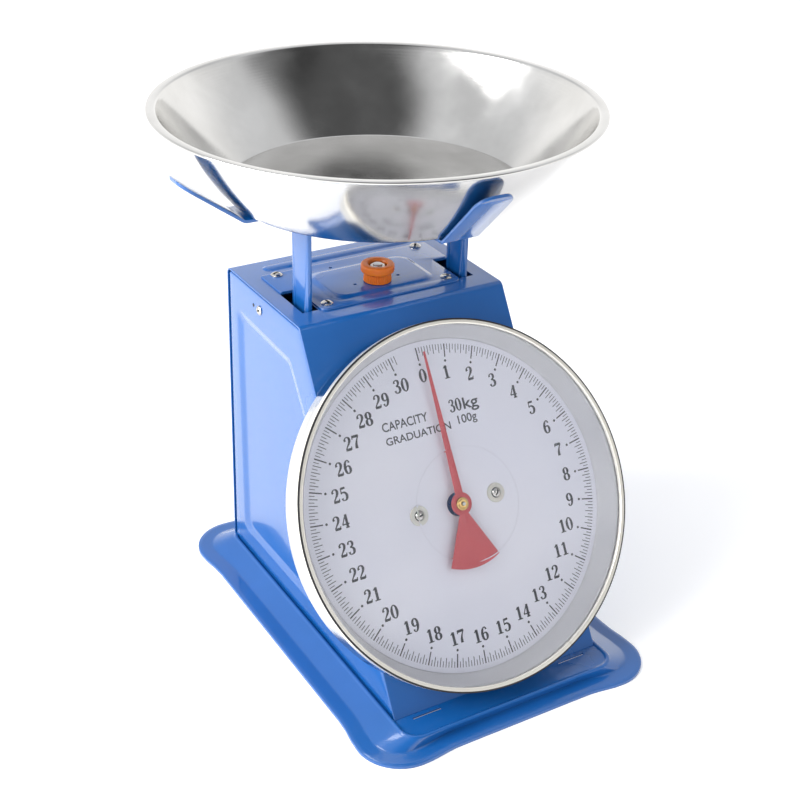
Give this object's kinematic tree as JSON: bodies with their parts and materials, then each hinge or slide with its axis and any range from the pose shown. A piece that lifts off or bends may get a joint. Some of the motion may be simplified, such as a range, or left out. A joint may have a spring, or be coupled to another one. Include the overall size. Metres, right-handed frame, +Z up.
{
  "type": "mechanical dial platform scale",
  "caption": "Spring platform scale with a sloping round dial, red pointer, zero knob and a lift-off round pan on a four-armed support.",
  "frame": {"origin": "on the table, in the middle of the scale's outline (base front edge to pan back edge, pan left to right)", "axes": "+Z up, out of the pan; -Y towards the dial side; +X to the right of a person who reads the dial"},
  "size_m": [0.29, 0.349, 0.351],
  "materials": {
    "blue_enamel": "glossy blue stove enamel on pressed steel sheet",
    "stainless_steel": "polished stainless sheet",
    "polished_steel": "polished steel",
    "nickel_plate": "nickel plated",
    "zinc_steel": "zinc plated steel",
    "spring_steel": "oiled spring wire",
    "brass": "turned brass",
    "dial_white": "printed white enamel",
    "red_enamel": "red enamel",
    "ivory_plastic": "ivory plastic",
    "grey_plastic": "grey plastic",
    "orange_plastic": "moulded orange plastic",
    "clear_plastic": "clear plastic sheet"
  },
  "bodies": {
    "housing": {"base_plate": "blue_enamel", "main_cover": "blue_enamel", "left_side_panel": "blue_enamel", "right_side_panel": "blue_enamel", "side_panel_screws": "nickel_plate", "cover_foot_screws": "nickel_plate", "top_cover_plate": "blue_enamel", "top_plate_screws": "nickel_plate", "link_stand": "zinc_steel", "stand_screws": "zinc_steel", "link_rods": "zinc_steel", "dial_case": "polished_steel", "dial_plate": "dial_white", "dial_spacers": "zinc_steel", "dial_washers": "ivory_plastic", "dial_screws": "nickel_plate", "dial_screw_nuts": "zinc_steel", "lens_spacer_ring": "grey_plastic", "dial_lens": "clear_plastic", "trim_ring": "polished_steel", "movement_front_plate": "brass", "movement_back_plate": "brass", "movement_pillars": "brass", "movement_screws": "zinc_steel", "pivot_bushes": "brass"},
    "platform": {"left_post": "blue_enamel", "right_post": "blue_enamel", "post_pins": "zinc_steel", "lower_beam": "blue_enamel", "beam_rivets": "zinc_steel", "cross_arm_side": "blue_enamel", "cross_arm_front": "blue_enamel", "cross_rivets": "zinc_steel", "rack": "brass", "rack_bracket": "zinc_steel", "rack_pin": "zinc_steel", "bracket_screws": "zinc_steel", "left_spring": "spring_steel", "right_spring": "spring_steel"},
    "pan": {"weighing_pan": "stainless_steel"},
    "pointer_arbor": {"pinion_shaft": "zinc_steel", "pinion": "brass", "pointer": "red_enamel", "pointer_collet": "brass", "pointer_nut": "brass"},
    "upper_guide": {"upper_link": "zinc_steel"},
    "lower_guide": {"lower_link": "zinc_steel"},
    "zero_adjuster": {"zero_knob": "orange_plastic", "knob_nut": "nickel_plate"},
    "hanger": {"spring_hanger": "zinc_steel", "zero_stud": "zinc_steel"}
  },
  "joints": [
    {"name": "platform_slide", "type": "slide", "parent": "housing", "child": "platform", "axis": [0, 0, -1], "range_m": [0, 0.0213], "stiffness_N_per_m": 13800, "springref_m": -0.001, "deforming": ["left_spring", "right_spring"]},
    {"name": "pan_lift", "type": "slide", "parent": "platform", "child": "pan", "axis": [0, 0, 1], "range_m": [0, 0.12]},
    {"name": "pointer_turn", "type": "hinge", "parent": "housing", "child": "pointer_arbor", "pos_m": [0, -0.07764, 0.11141], "axis": [0, 0.8582, -0.5133], "range_deg": [0, 350]},
    {"name": "upper_link_swing", "type": "hinge", "parent": "housing", "child": "upper_guide", "pos_m": [0, 0.08102, 0.16935], "axis": [1, 0, 0], "range_deg": [0, 20.6]},
    {"name": "lower_link_swing", "type": "hinge", "parent": "housing", "child": "lower_guide", "pos_m": [0, 0.08102, 0.06735], "axis": [1, 0, 0], "range_deg": [0, 20.6]},
    {"name": "zero_knob_turn", "type": "hinge", "parent": "housing", "child": "zero_adjuster", "pos_m": [0, 0.027, 0.235], "axis": [0, 0, 1], "range_deg": [-361, 361]},
    {"name": "hanger_slide", "type": "slide", "parent": "housing", "child": "hanger", "axis": [0, 0, 1], "range_m": [-0.001, 0.001]}
  ],
  "couplings": [
    {"joint": "pointer_turn", "follows": "platform_slide", "rad_per_m": 286.06},
    {"joint": "upper_link_swing", "follows": "platform_slide", "rad_per_m": 16.755},
    {"joint": "lower_link_swing", "follows": "platform_slide", "rad_per_m": 16.755},
    {"joint": "zero_knob_turn", "follows": "hanger_slide", "rad_per_m": -6283.2}
  ]
}
